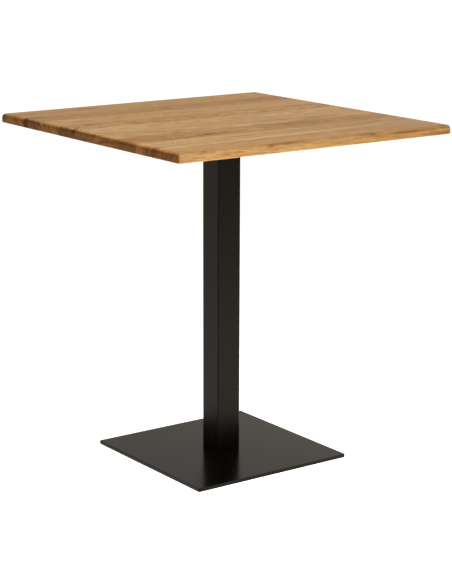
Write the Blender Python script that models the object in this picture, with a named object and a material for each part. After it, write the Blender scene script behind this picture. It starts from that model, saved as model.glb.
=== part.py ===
"""Square bistro table: glued oak top on a square steel column and a flat steel
base plate, standing on four levelling glides.

Frame: origin on the floor under the middle of the table, +Z up, +X along the
grain of the top, +Y across the staves.  Metres, real size.
"""
import math

import bmesh
import bpy

# ---------------------------------------------------------------- dimensions
TOTAL_HEIGHT = 0.760

# top: nine edge-glued staves, grain along X
TOP_SIZE = 0.700
TOP_THICKNESS = 0.020
TOP_EDGE_RADIUS = 0.009        # upper edge
TOP_UNDER_RADIUS = 0.003       # lower edge
TOP_CORNER_RADIUS = 0.006      # in plan
STAVE_JOINTS_Y = (0.250, 0.182, 0.100, 0.033, -0.045, -0.119, -0.197, -0.292)

# steel mounting plate under the top
HEAD_PLATE_SIZE = 0.320
HEAD_PLATE_THICKNESS = 0.005
HEAD_PLATE_CORNER = 0.012
HEAD_PLATE_CHAMFER = 0.0006
TOP_SCREW_PITCH = 0.140        # from the middle to a screw line
SLOT_RADIUS = 0.003
SLOT_LENGTH = 0.014            # across the grain, so the wood can move

# column: square tube with a tapped block welded into each end
COLUMN_SIZE = 0.060
COLUMN_WALL = 0.002
COLUMN_CORNER = 0.003
BLOCK_THICKNESS = 0.012
BOLT_PITCH = 0.016             # from the middle to a bolt, both ways

# base plate
BASE_SIZE = 0.400
BASE_THICKNESS = 0.008
BASE_CORNER = 0.004
BASE_CHAMFER = 0.0008

# M8 countersunk socket bolts
BOLT_RADIUS = 0.0040
BOLT_HEAD_RADIUS = 0.0080
BOLT_LENGTH = 0.0196
BOLT_SINK = 0.0004             # head below the plate's face
SOCKET_FLATS = 0.005
SOCKET_DEPTH = 0.0025

# 5 mm pan-head wood screws with washers
SCREW_RADIUS = 0.0024
SCREW_HEAD_RADIUS = 0.0048
SCREW_HEAD_HEIGHT = 0.0026
SCREW_REACH = 0.0135           # into the wood
PILOT_RADIUS = 0.0028
WASHER_RADIUS = 0.0075
WASHER_BORE = 0.0028
WASHER_THICKNESS = 0.0012

# levelling glides
GLIDE_INSET = 0.035            # axis to the plate's edges
GLIDE_HEIGHT = 0.005           # floor to the plate's underside, screwed right in
PAD_RADIUS = 0.015
PAD_HEIGHT = 0.0029
PAD_CHAMFER = 0.0007
FOOT_RADIUS = 0.0050
NECK_RADIUS = 0.0033
HEX_FLATS = 0.013
STUD_RADIUS = 0.0040
STUD_TOP = 0.0062              # above the plate's underside
TAPPED_DEPTH = 0.0065

GAP = 0.0003                   # left between pieces that touch

# ---------------------------------------------------------------- heights
BASE_Z0 = GLIDE_HEIGHT
BASE_Z1 = BASE_Z0 + BASE_THICKNESS
TOP_Z1 = TOTAL_HEIGHT
TOP_Z0 = TOP_Z1 - TOP_THICKNESS
PLATE_Z1 = TOP_Z0 - GAP
PLATE_Z0 = PLATE_Z1 - HEAD_PLATE_THICKNESS
COLUMN_Z0 = BASE_Z1 + GAP
COLUMN_Z1 = PLATE_Z0 - GAP


# ---------------------------------------------------------------- helpers
def clear_scene():
    for obj in list(bpy.data.objects):
        bpy.data.objects.remove(obj, do_unlink=True)
    for mesh in list(bpy.data.meshes):
        bpy.data.meshes.remove(mesh)
    for mat in list(bpy.data.materials):
        bpy.data.materials.remove(mat)


def linear(srgb):
    out = []
    for v in srgb:
        v = v / 255.0
        out.append(v / 12.92 if v <= 0.04045 else ((v + 0.055) / 1.055) ** 2.4)
    return out


def material(name, srgb, roughness, metallic):
    mat = bpy.data.materials.new(name)
    mat.use_nodes = True
    shader = mat.node_tree.nodes["Principled BSDF"]
    r, g, b = linear(srgb)
    shader.inputs["Base Color"].default_value = (r, g, b, 1.0)
    shader.inputs["Roughness"].default_value = roughness
    shader.inputs["Metallic"].default_value = metallic
    mat.diffuse_color = (r, g, b, 1.0)
    return mat


def add_object(name, bm, mat, location=(0.0, 0.0, 0.0), smooth_deg=None):
    bmesh.ops.recalc_face_normals(bm, faces=bm.faces)
    mesh = bpy.data.meshes.new(name)
    bm.to_mesh(mesh)
    bm.free()
    if smooth_deg is not None:
        mesh.shade_smooth()
        mesh.set_sharp_from_angle(angle=math.radians(smooth_deg))
    obj = bpy.data.objects.new(name, mesh)
    obj.location = location
    if mat is not None:
        mesh.materials.append(mat)
    bpy.context.scene.collection.objects.link(obj)
    return obj


def bridge_rings(bm, lower, upper):
    n = len(lower)
    for i in range(n):
        j = (i + 1) % n
        bm.faces.new((lower[i], lower[j], upper[j], upper[i]))


def stack(bm, levels):
    """A closed solid through outlines of equal point count, (z, [(x, y), ...])."""
    rings = []
    for z, outline in levels:
        rings.append([bm.verts.new((x, y, z)) for x, y in outline])
    for lower, upper in zip(rings, rings[1:]):
        bridge_rings(bm, lower, upper)
    bm.faces.new(list(reversed(rings[0])))
    bm.faces.new(rings[-1])
    return rings


def arc(cx, cy, radius, a0, a1, steps):
    return [(cx + radius * math.cos(math.radians(a0 + (a1 - a0) * i / steps)),
             cy + radius * math.sin(math.radians(a0 + (a1 - a0) * i / steps)))
            for i in range(steps + 1)]


def rounded_square(half, radius, steps):
    c = half - radius
    out = []
    for cx, cy, a in ((c, -c, -90), (c, c, 0), (-c, c, 90), (-c, -c, 180)):
        out += arc(cx, cy, radius, a, a + 90, steps)
    return out


def turned(bm, profile, sides, x=0.0, y=0.0):
    """A closed turned solid; the profile of (r, z) starts and ends on the axis."""
    first = bm.verts.new((x, y, profile[0][1]))
    last = bm.verts.new((x, y, profile[-1][1]))
    rings = []
    for r, z in profile[1:-1]:
        rings.append([bm.verts.new((x + r * math.cos(2 * math.pi * i / sides),
                                    y + r * math.sin(2 * math.pi * i / sides), z))
                      for i in range(sides)])
    for lower, upper in zip(rings, rings[1:]):
        bridge_rings(bm, lower, upper)
    for i in range(sides):
        j = (i + 1) % sides
        bm.faces.new((first, rings[0][j], rings[0][i]))
        bm.faces.new((last, rings[-1][i], rings[-1][j]))


def cutter(name, bm):
    obj = add_object(name, bm, None)
    obj.hide_render = True
    obj.display_type = "WIRE"
    return obj


def cut(obj, tool):
    mod = obj.modifiers.new("cut_" + tool.name, "BOOLEAN")
    mod.operation = "DIFFERENCE"
    mod.solver = "EXACT"
    mod.object = tool


# ---------------------------------------------------------------- the top
def edge_insets(z0, z1, under, over):
    """(z, inset) up the edge of the top: small round below, larger one above."""
    out = []
    for i in range(3):
        a = math.radians(90.0 * i / 2)
        out.append((z0 + under * (1 - math.cos(a)), under * (1 - math.sin(a))))
    for i in range(5):
        a = math.radians(90.0 * i / 4)
        out.append((z1 - over * (1 - math.sin(a)), over * (1 - math.cos(a))))
    return out


def middle_stave(name, y_low, y_high, mat):
    """A stave between two glue joints: the end profile swept across its width."""
    half = TOP_SIZE / 2
    rise = edge_insets(TOP_Z0, TOP_Z1, TOP_UNDER_RADIUS, TOP_EDGE_RADIUS)
    section = [(half - d, z) for z, d in rise] + [(-half + d, z) for z, d in reversed(rise)]
    bm = bmesh.new()
    a = [bm.verts.new((x, y_low + GAP / 2, z)) for x, z in section]
    b = [bm.verts.new((x, y_high - GAP / 2, z)) for x, z in section]
    bridge_rings(bm, a, b)
    bm.faces.new(a)
    bm.faces.new(list(reversed(b)))
    return add_object(name, bm, mat, smooth_deg=40)


def edge_stave(name, y_joint, side, mat):
    """An outermost stave, with a rounded long edge and two rounded corners."""
    half = TOP_SIZE / 2
    levels = []
    for z, d in edge_insets(TOP_Z0, TOP_Z1, TOP_UNDER_RADIUS, TOP_EDGE_RADIUS):
        a = half - d
        r = max(TOP_CORNER_RADIUS - d, 0.0008)
        outline = [(-a, y_joint * side + GAP / 2), (a, y_joint * side + GAP / 2)]
        outline += arc(a - r, a - r, r, 0, 90, 4)
        outline += arc(-a + r, a - r, r, 90, 180, 4)
        levels.append((z, [(x, y * side) for x, y in outline]))
    bm = bmesh.new()
    stack(bm, levels)
    return add_object(name, bm, mat, smooth_deg=40)


def screw_places():
    p = TOP_SCREW_PITCH
    return [(-p, p), (0.0, p), (p, p), (-p, 0.0), (p, 0.0), (-p, -p), (0.0, -p), (p, -p)]


def build_top(mats):
    bounds = (TOP_SIZE / 2,) + STAVE_JOINTS_Y + (-TOP_SIZE / 2,)
    staves = []
    for i in range(9):
        high, low = bounds[i], bounds[i + 1]
        name = "stave_%d" % (i + 1)
        if i == 0:
            obj = edge_stave(name, low, 1, mats[i])
        elif i == 8:
            obj = edge_stave(name, high, -1, mats[i])
        else:
            obj = middle_stave(name, low, high, mats[i])
        staves.append((obj, low, high))
    # blind pilot holes for the wood screws, drilled from below
    for obj, low, high in staves:
        holes = [(x, y) for x, y in screw_places() if low < y < high]
        if not holes:
            continue
        bm = bmesh.new()
        for x, y in holes:
            top = TOP_Z0 + SCREW_REACH + 0.001
            turned(bm, [(0, TOP_Z0 - 0.002), (PILOT_RADIUS, TOP_Z0 - 0.002),
                        (PILOT_RADIUS, top - 0.0012), (0, top)], 12, x, y)
        cut(obj, cutter("cutter_" + obj.name, bm))


def build_top_screws(steel):
    for i, (x, y) in enumerate(screw_places()):
        washer_top = PLATE_Z0 - GAP
        washer_low = washer_top - WASHER_THICKNESS
        bm = bmesh.new()
        rings = []
        for r, z in ((WASHER_BORE, washer_low), (WASHER_RADIUS, washer_low),
                     (WASHER_RADIUS, washer_top), (WASHER_BORE, washer_top)):
            rings.append([bm.verts.new((r * math.cos(2 * math.pi * k / 16),
                                        r * math.sin(2 * math.pi * k / 16), z))
                          for k in range(16)])
        for a, b in zip(rings, rings[1:] + rings[:1]):
            bridge_rings(bm, a, b)
        add_object("top_washer_%d" % (i + 1), bm, steel, (x, y, 0.0), 40)

        head_top = washer_low - GAP
        head_low = head_top - SCREW_HEAD_HEIGHT
        tip = TOP_Z0 + SCREW_REACH
        bm = bmesh.new()
        turned(bm, [(0, head_low), (SCREW_HEAD_RADIUS * 0.62, head_low),
                    (SCREW_HEAD_RADIUS * 0.93, head_low + 0.0008),
                    (SCREW_HEAD_RADIUS, head_top - 0.0006), (SCREW_HEAD_RADIUS, head_top),
                    (SCREW_RADIUS, head_top), (SCREW_RADIUS, tip - 0.0035), (0, tip)], 12)
        add_object("top_screw_%d" % (i + 1), bm, steel, (x, y, 0.0), 40)


# ---------------------------------------------------------------- head plate
def build_head_plate(mat):
    c = HEAD_PLATE_CHAMFER
    h = HEAD_PLATE_SIZE / 2
    levels = [(PLATE_Z0, rounded_square(h - c, HEAD_PLATE_CORNER - c, 5)),
              (PLATE_Z0 + c, rounded_square(h, HEAD_PLATE_CORNER, 5)),
              (PLATE_Z1 - c, rounded_square(h, HEAD_PLATE_CORNER, 5)),
              (PLATE_Z1, rounded_square(h - c, HEAD_PLATE_CORNER - c, 5))]
    bm = bmesh.new()
    stack(bm, levels)
    obj = add_object("head_plate", bm, mat)

    bm = bmesh.new()
    low, high = PLATE_Z0 - 0.002, PLATE_Z1 + 0.002
    for x, y in screw_places():
        s = 0.0 if y == 0.0 else (SLOT_LENGTH - 2 * SLOT_RADIUS) / 2
        outline = arc(x, y + s, SLOT_RADIUS, 0, 180, 8)
        outline += arc(x, y - s, SLOT_RADIUS, 180, 360, 8)
        if s == 0.0:
            outline = arc(x, y, SLOT_RADIUS, 0, 360, 16)[:-1]
        stack(bm, [(low, outline), (high, outline)])
    # countersunk bolt holes, heads on the upper face
    head_z = PLATE_Z1 - BOLT_SINK
    cone_z = head_z - (BOLT_HEAD_RADIUS - BOLT_RADIUS)
    side = 0.00043
    for x in (-BOLT_PITCH, BOLT_PITCH):
        for y in (-BOLT_PITCH, BOLT_PITCH):
            rise = high - cone_z
            turned(bm, [(0, low), (BOLT_RADIUS + side, low), (BOLT_RADIUS + side, cone_z),
                        (BOLT_RADIUS + side + rise, high), (0, high)], 18, x, y)
    cut(obj, cutter("cutter_head_plate", bm))


# ---------------------------------------------------------------- column
def build_column(paint, steel):
    outer = rounded_square(COLUMN_SIZE / 2, COLUMN_CORNER, 4)
    inner_half = COLUMN_SIZE / 2 - COLUMN_WALL
    inner = rounded_square(inner_half, COLUMN_CORNER - COLUMN_WALL, 4)
    bm = bmesh.new()
    rings = []
    for z, outline in ((COLUMN_Z0, outer), (COLUMN_Z1, outer),
                       (COLUMN_Z1, inner), (COLUMN_Z0, inner)):
        rings.append([bm.verts.new((x, y, z)) for x, y in outline])
    for a, b in zip(rings, rings[1:] + rings[:1]):
        bridge_rings(bm, a, b)
    add_object("column_tube", bm, paint, smooth_deg=40)

    for name, z0 in (("column_foot_block", COLUMN_Z0),
                     ("column_head_block", COLUMN_Z1 - BLOCK_THICKNESS)):
        z1 = z0 + BLOCK_THICKNESS
        outline = rounded_square(inner_half - GAP, 0.0016, 2)
        bm = bmesh.new()
        stack(bm, [(z0, outline), (z1, outline)])
        block = add_object(name, bm, steel)
        bm = bmesh.new()
        for x in (-BOLT_PITCH, BOLT_PITCH):
            for y in (-BOLT_PITCH, BOLT_PITCH):
                r = BOLT_RADIUS + GAP + 0.00005
                turned(bm, [(0, z0 - 0.002), (r, z0 - 0.002), (r, z1 + 0.002), (0, z1 + 0.002)],
                       16, x, y)
        cut(block, cutter("cutter_" + name, bm))


def bolt_mesh(up):
    """Countersunk bolt with its head face at z = 0 and its shank along up * Z."""
    bm = bmesh.new()
    cone = BOLT_HEAD_RADIUS - BOLT_RADIUS
    sides = 18

    def ring(r, z, corner_every=1):
        out = []
        for i in range(sides):
            a = 2 * math.pi * i / sides
            rr = r
            if corner_every != 1:          # a hexagon sampled at the same angles
                b = (a + math.pi / 6) % (math.pi / 3) - math.pi / 6
                rr = SOCKET_FLATS / 2 / math.cos(b)
            out.append(bm.verts.new((rr * math.cos(a), rr * math.sin(a), z * up)))
        return out

    hex_floor = ring(0, SOCKET_DEPTH, 6)
    hex_mouth = ring(0, 0.0, 6)
    head = ring(BOLT_HEAD_RADIUS, 0.0)
    shank0 = ring(BOLT_RADIUS, cone)
    shank1 = ring(BOLT_RADIUS, BOLT_LENGTH - 0.0008)
    shank2 = ring(BOLT_RADIUS - 0.0008, BOLT_LENGTH)
    rings = [hex_floor, hex_mouth, head, shank0, shank1, shank2]
    for a, b in zip(rings, rings[1:]):
        bridge_rings(bm, a, b)
    bm.faces.new(hex_floor)
    bm.faces.new(shank2)
    return bm


def build_bolts(steel):
    n = 0
    for x in (-BOLT_PITCH, BOLT_PITCH):
        for y in (-BOLT_PITCH, BOLT_PITCH):
            n += 1
            add_object("head_bolt_%d" % n, bolt_mesh(-1), steel,
                       (x, y, PLATE_Z1 - BOLT_SINK), 30)
            add_object("foot_bolt_%d" % n, bolt_mesh(1), steel,
                       (x, y, BASE_Z0 + BOLT_SINK), 30)


# ---------------------------------------------------------------- base plate
def glide_places():
    p = BASE_SIZE / 2 - GLIDE_INSET
    return [(-p, -p), (p, -p), (p, p), (-p, p)]


def build_base_plate(mat):
    c = BASE_CHAMFER
    h = BASE_SIZE / 2
    levels = [(BASE_Z0, rounded_square(h - c, BASE_CORNER - c, 5)),
              (BASE_Z0 + c, rounded_square(h, BASE_CORNER, 5)),
              (BASE_Z1 - c, rounded_square(h, BASE_CORNER, 5)),
              (BASE_Z1, rounded_square(h - c, BASE_CORNER - c, 5))]
    bm = bmesh.new()
    stack(bm, levels)
    obj = add_object("base_plate", bm, mat)

    bm = bmesh.new()
    low, high = BASE_Z0 - 0.002, BASE_Z1 + 0.002
    # countersunk bolt holes, heads on the lower face
    cone_z = BASE_Z0 + BOLT_SINK + (BOLT_HEAD_RADIUS - BOLT_RADIUS)
    side = 0.00043
    for x in (-BOLT_PITCH, BOLT_PITCH):
        for y in (-BOLT_PITCH, BOLT_PITCH):
            turned(bm, [(0, low), (BOLT_RADIUS + side + (cone_z - low), low),
                        (BOLT_RADIUS + side, cone_z), (BOLT_RADIUS + side, high), (0, high)],
                   18, x, y)
    # blind tapped holes for the glides
    for x, y in glide_places():
        r = STUD_RADIUS + GAP + 0.00005
        turned(bm, [(0, low), (r, low), (r, BASE_Z0 + TAPPED_DEPTH), (0, BASE_Z0 + TAPPED_DEPTH)],
               20, x, y)
    cut(obj, cutter("cutter_base_plate", bm))


# ---------------------------------------------------------------- glides
def build_glides(plastic, steel):
    for i, (x, y) in enumerate(glide_places()):
        n = i + 1
        # pad: a disc with an undercut socket that holds the stud's foot
        socket_r, socket_z0, socket_z1 = FOOT_RADIUS + GAP, 0.0006, 0.0024
        mouth_r = NECK_RADIUS + GAP
        bm = bmesh.new()
        turned(bm, [(0, 0), (PAD_RADIUS - PAD_CHAMFER, 0), (PAD_RADIUS, PAD_CHAMFER),
                    (PAD_RADIUS, PAD_HEIGHT - PAD_CHAMFER), (PAD_RADIUS - PAD_CHAMFER, PAD_HEIGHT),
                    (mouth_r, PAD_HEIGHT), (mouth_r, socket_z1), (socket_r, socket_z1),
                    (socket_r, socket_z0), (0, socket_z0)], 24)
        add_object("glide_pad_%d" % n, bm, plastic, (x, y, 0.0), 40)

        # stud: foot, neck, hexagon and shank; its shank stands in the plate
        foot_z0, foot_z1 = socket_z0 + GAP, socket_z1 - GAP
        hex_z0, hex_z1 = PAD_HEIGHT + GAP, GLIDE_HEIGHT - GAP
        top = GLIDE_HEIGHT + STUD_TOP
        sides = 18
        bm = bmesh.new()
        rows = [(FOOT_RADIUS, foot_z0, False), (FOOT_RADIUS, foot_z1, False),
                (NECK_RADIUS, foot_z1, False), (NECK_RADIUS, hex_z0, False),
                (0, hex_z0, True), (0, hex_z1, True), (STUD_RADIUS, hex_z1, False),
                (STUD_RADIUS, top - 0.0006, False), (STUD_RADIUS - 0.0006, top, False)]
        rings = []
        for r, z, hexagon in rows:
            ring = []
            for k in range(sides):
                a = 2 * math.pi * k / sides
                b = (a + math.pi / 6) % (math.pi / 3) - math.pi / 6
                rr = HEX_FLATS / 2 / math.cos(b) if hexagon else r
                ring.append(bm.verts.new((rr * math.cos(a), rr * math.sin(a), z)))
            rings.append(ring)
        for a, b in zip(rings, rings[1:]):
            bridge_rings(bm, a, b)
        bm.faces.new(list(reversed(rings[0])))
        bm.faces.new(rings[-1])
        add_object("glide_stud_%d" % n, bm, steel, (x, y, 0.0), 30)


# ---------------------------------------------------------------- build
def main():
    clear_scene()
    tones = ((179, 144, 106), (170, 133, 95), (184, 147, 104), (178, 139, 98),
             (188, 152, 110), (187, 149, 106), (170, 131, 92), (186, 149, 106),
             (183, 142, 97))
    oak = [material("oak_%d" % (i + 1), tone, 0.45, 0.0) for i, tone in enumerate(tones)]
    black_column = material("black_powder_coat_column", (44, 44, 44), 0.42, 0.0)
    black_plate = material("black_powder_coat_plate", (40, 39, 38), 0.38, 0.0)
    zinc = material("zinc_plated_steel", (186, 188, 190), 0.32, 1.0)
    raw = material("mild_steel", (120, 118, 116), 0.5, 1.0)
    nylon = material("black_nylon", (30, 30, 30), 0.55, 0.0)

    build_top(oak)
    build_top_screws(zinc)
    build_head_plate(black_plate)
    build_column(black_column, raw)
    build_bolts(zinc)
    build_base_plate(black_plate)
    build_glides(nylon, zinc)
    bpy.context.view_layer.update()


main()
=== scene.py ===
"""Looks of the square oak bistro table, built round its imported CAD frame.

Row frame: origin on the floor under the middle of the table, +Z up, +X along
the grain of the top, +Y across the staves.  Metres.
"""
import math

import bmesh
import bpy
from mathutils import Matrix, Vector


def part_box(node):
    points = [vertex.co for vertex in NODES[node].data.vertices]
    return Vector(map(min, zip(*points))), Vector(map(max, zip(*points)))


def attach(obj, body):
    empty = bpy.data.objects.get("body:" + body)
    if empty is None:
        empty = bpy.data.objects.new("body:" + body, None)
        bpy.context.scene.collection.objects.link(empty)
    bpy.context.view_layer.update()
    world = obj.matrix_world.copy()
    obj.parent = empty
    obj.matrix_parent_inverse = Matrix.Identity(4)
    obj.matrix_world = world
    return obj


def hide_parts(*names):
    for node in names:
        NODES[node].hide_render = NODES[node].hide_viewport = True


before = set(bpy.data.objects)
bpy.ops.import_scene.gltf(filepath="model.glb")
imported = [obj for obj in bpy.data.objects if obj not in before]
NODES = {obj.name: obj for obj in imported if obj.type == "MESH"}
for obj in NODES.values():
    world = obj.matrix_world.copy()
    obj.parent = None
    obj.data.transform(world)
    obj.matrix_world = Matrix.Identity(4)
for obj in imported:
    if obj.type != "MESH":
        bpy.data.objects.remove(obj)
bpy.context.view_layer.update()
TABLE = "table"


# =====================================================================
# shader graphs
# =====================================================================
class Graph:
    """Writes a node tree as expressions.  Sockets and plain numbers mix freely."""

    def __init__(self, tree):
        self.tree = tree
        self.nodes = tree.nodes
        self.links = tree.links

    def _in(self, socket, value):
        if isinstance(value, bpy.types.NodeSocket):
            self.links.new(value, socket)
        elif value is not None:
            if hasattr(socket.default_value, "__len__"):
                if not hasattr(value, "__len__"):
                    value = (value,) * 3
                value = tuple(value)
                if len(socket.default_value) == 4 and len(value) == 3:
                    value += (1.0,)
            socket.default_value = value

    def math(self, op, a, b=None, c=None, clamp=False):
        n = self.nodes.new("ShaderNodeMath")
        n.operation = op
        n.use_clamp = clamp
        for s, v in zip(n.inputs, (a, b, c)):
            self._in(s, v)
        return n.outputs[0]

    def add(self, *terms):
        out = terms[0]
        for t in terms[1:]:
            out = self.math("ADD", out, t)
        return out

    def mul(self, *terms):
        out = terms[0]
        for t in terms[1:]:
            out = self.math("MULTIPLY", out, t)
        return out

    def madd(self, a, b, c):
        return self.math("MULTIPLY_ADD", a, b, c)

    def vec(self, op, a, b=None, scale=None):
        n = self.nodes.new("ShaderNodeVectorMath")
        n.operation = op
        self._in(n.inputs[0], a)
        if b is not None:
            self._in(n.inputs[1], b)
        if scale is not None:
            self._in(n.inputs["Scale"], scale)
        return n.outputs["Value"] if op in ("LENGTH", "DOT_PRODUCT", "DISTANCE") else n.outputs[0]

    def xyz(self, v):
        n = self.nodes.new("ShaderNodeSeparateXYZ")
        self._in(n.inputs[0], v)
        return n.outputs[0], n.outputs[1], n.outputs[2]

    def join(self, x, y, z):
        n = self.nodes.new("ShaderNodeCombineXYZ")
        for s, v in zip(n.inputs, (x, y, z)):
            self._in(s, v)
        return n.outputs[0]

    def coords(self):
        n = self.nodes.new("ShaderNodeTexCoord")
        return n.outputs["Object"], n.outputs["Normal"]

    def noise(self, v, detail=2.0, rough=0.5, distortion=0.0, colour=False, scale=1.0):
        n = self.nodes.new("ShaderNodeTexNoise")
        n.noise_dimensions = "3D"
        self._in(n.inputs["Vector"], v)
        n.inputs["Scale"].default_value = scale
        n.inputs["Detail"].default_value = detail
        n.inputs["Roughness"].default_value = rough
        n.inputs["Distortion"].default_value = distortion
        return n.outputs["Color"] if colour else n.outputs["Fac"]

    def noise1(self, w, detail=1.0, scale=1.0):
        n = self.nodes.new("ShaderNodeTexNoise")
        n.noise_dimensions = "1D"
        self._in(n.inputs["W"], w)
        n.inputs["Scale"].default_value = scale
        n.inputs["Detail"].default_value = detail
        return n.outputs["Fac"]

    def random1(self, w):
        n = self.nodes.new("ShaderNodeTexWhiteNoise")
        n.noise_dimensions = "1D"
        self._in(n.inputs["W"], w)
        return n.outputs["Value"]

    def voronoi(self, v, scale=1.0, feature="F1", randomness=1.0):
        n = self.nodes.new("ShaderNodeTexVoronoi")
        n.voronoi_dimensions = "3D"
        n.feature = feature
        self._in(n.inputs["Vector"], v)
        n.inputs["Scale"].default_value = scale
        n.inputs["Randomness"].default_value = randomness
        return n.outputs["Distance"]

    def smooth(self, v, low, high, out0=0.0, out1=1.0):
        n = self.nodes.new("ShaderNodeMapRange")
        n.interpolation_type = "SMOOTHSTEP"
        for s, x in zip(n.inputs, (v, low, high, out0, out1)):
            self._in(s, x)
        return n.outputs[0]

    def curve(self, v, stops, interpolation="LINEAR"):
        """A grey ramp: stops are (position, value)."""
        n = self.nodes.new("ShaderNodeValToRGB")
        n.color_ramp.interpolation = interpolation
        el = n.color_ramp.elements
        while len(el) < len(stops):
            el.new(0.5)
        for e, (p, x) in zip(el, stops):
            e.position = p
            e.color = (x, x, x, 1.0)
        self._in(n.inputs[0], v)
        return n.outputs[0]

    def mix(self, fac, a, b, blend="MIX"):
        n = self.nodes.new("ShaderNodeMix")
        n.data_type = "RGBA"
        n.blend_type = blend
        n.clamp_factor = True
        self._in(n.inputs[0], fac)
        self._in(n.inputs[6], a)
        self._in(n.inputs[7], b)
        return n.outputs[2]

    def bump(self, height, strength, distance):
        n = self.nodes.new("ShaderNodeBump")
        n.inputs["Strength"].default_value = strength
        n.inputs["Distance"].default_value = distance
        self._in(n.inputs["Height"], height)
        return n.outputs[0]


def linear(srgb):
    out = []
    for v in srgb:
        v = v / 255.0
        out.append(v / 12.92 if v <= 0.04045 else ((v + 0.055) / 1.055) ** 2.4)
    return tuple(out)


def scaled(colour, k):
    k = k if hasattr(k, "__len__") else (k, k, k)
    return tuple(c * s for c, s in zip(colour, k))


def new_material(name, **principled):
    mat = bpy.data.materials.new(name)
    mat.use_nodes = True
    tree = mat.node_tree
    shader = next(n for n in tree.nodes if n.type == "BSDF_PRINCIPLED")
    for key, value in principled.items():
        shader.inputs[key.replace("_", " ")].default_value = value
    return mat, Graph(tree), shader


# ---------------------------------------------------------------- oak
def oak(name, seed, pith, tilt, ring, tone, end, y_low, y_high, figure=1.0, band=1.0,
        streak=1.0, rough=1.0, soak=(0.40, 0.97), side=None,
        lean=((1.01, 1.01, 1.03), (0.98, 0.96, 0.92)), marks=(), lights=(), stains=(), streaks=(),
        knots=(), chevrons=()):
    """Solid oak as a three-dimensional pattern of growth rings round a pith line,
    so the face, the long edge and the end grain of a stave belong together.

    pith    (y, z) of the pith line at x = 0, tilt its slope in y and z along x
    ring    mean width of a growth ring
    marks   darker places (x, y, z, length, width, depth, strength); lights paler ones,
            stains redder ones
    streaks lengthwise lines (x0, y0, x1, y1, width, strength), paler if negative
    knots   (x, y, radius, strength)
    chevrons (x0, x1, y, width, pitch, slope, strength), a herringbone figure, paler if
            strength is negative
    lean    colour factors at the left and right end of the stave
    soak    how far up the arris the dark end grain reaches
    side    colour factors of the long outer edge, left and right: painted shade that darkens this lit face
    """
    mat, g, shader = new_material(name)
    p, normal = g.coords()
    s = (seed * 13.7, seed * 5.3, seed * 9.1)

    def place(fx, fy, fz, shift=0.0):
        return g.vec("ADD", g.vec("MULTIPLY", p, (fx, fy, fz)),
                     (s[0] + shift, s[1] + 2 * shift, s[2] - shift))

    def off(v, k):
        """v - 0.5, times k."""
        return g.madd(v, k, -0.5 * k)

    # wander of the grain, from boards' lengths down to single rings
    wide = g.noise(place(1.6, 8.0, 8.0), 1.5, 0.5)
    middle = g.noise(place(8.0, 34.0, 34.0, 3.0), 2.5, 0.55)
    small = g.noise(place(34.0, 190.0, 190.0, 7.0), 2.0, 0.6)
    drift = g.noise(place(4.0, 22.0, 22.0, 11.0), 3.0, 0.55, colour=True)
    centred = g.vec("SUBTRACT", drift, (0.5, 0.5, 0.5))
    q = g.vec("ADD", p, g.vec("MULTIPLY", centred, (0.035, 0.009, 0.003)))

    x, y, z = g.xyz(p)
    yy = g.math("SUBTRACT", g.madd(x, -tilt[0], y), pith[0])
    zz = g.math("SUBTRACT", g.madd(x, -tilt[1], z), pith[1])
    radius = g.vec("LENGTH", g.join(0.0, yy, zz))
    angle = g.math("ARCTAN2", zz, yy)
    r = g.math("ADD", off(wide, 0.018), radius)
    r = g.math("ADD", off(middle, 0.0052), r)
    r = g.math("ADD", off(small, 0.0011), r)

    # grain flows round each knot
    knot_core = None
    knot_halo = None
    for kx, ky, kr, strength in knots:
        rel = g.vec("SUBTRACT", p, (kx, ky, 0.0))
        rel = g.vec("MULTIPLY", rel, (1 / (2.4 * kr), 1 / kr, 0.0))
        rel = g.vec("ADD", rel, g.vec("MULTIPLY", centred, (1.8, 1.0, 0.0)))
        d2 = g.vec("DOT_PRODUCT", rel, rel)
        halo = g.math("EXPONENT", g.mul(d2, -0.14))
        core = g.mul(g.math("EXPONENT", g.mul(g.mul(d2, d2), -0.8)), strength)
        dy = g.math("SUBTRACT", y, ky)
        r = g.math("SUBTRACT", r, g.mul(dy, 0.8, halo))
        halo = g.mul(halo, strength)
        knot_core = core if knot_core is None else g.math("MAXIMUM", knot_core, core)
        knot_halo = halo if knot_halo is None else g.math("MAXIMUM", knot_halo, halo)

    t = g.mul(r, 1.0 / ring)
    t = g.math("ADD", off(g.noise1(g.madd(t, 0.21, seed * 3.1)), 2.4), t)
    year = g.math("FLOOR", t)
    part = g.math("SUBTRACT", t, year)
    ring_dark = g.curve(part, ((0.0, 0.70), (0.10, 1.0), (0.30, 0.38), (0.45, 0.0),
                               (0.80, 0.20), (1.0, 0.70)), "EASE")
    early = g.curve(part, ((0.0, 0.5), (0.12, 1.0), (0.34, 0.5), (0.46, 0.0), (1.0, 0.25)))
    year_tone = off(g.random1(g.add(year, seed * 17.0)), 1.0)
    bands = off(g.noise1(g.madd(t, 0.34, seed * 7.7), 2.0), 1.0)

    # streaks, cloudy mottle, fibre, open pores and rays
    broad = off(g.noise(place(1.7, 24.0, 24.0, 23.0), 3.0, 0.55), 1.0)
    mottle = off(g.noise(place(30.0, 85.0, 85.0, 31.0), 2.5, 0.6), 1.0)
    strand = off(g.noise(place(13.0, 330.0, 330.0, 37.0), 2.0, 0.6), 1.0)
    fibre = off(g.noise(place(45.0, 900.0, 900.0, 41.0), 2.0, 0.6), 1.0)
    vessel = g.noise(place(95.0, 1700.0, 1700.0, 53.0), 1.0, 0.5)
    pores = g.mul(g.smooth(vessel, 0.55, 0.66), g.madd(early, 0.85, 0.15))
    ray = g.noise(g.vec("MULTIPLY", g.join(x, r, angle), (95.0, 45.0, 420.0)), 1.0, 0.5)
    rays = g.smooth(ray, 0.60, 0.72)

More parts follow.
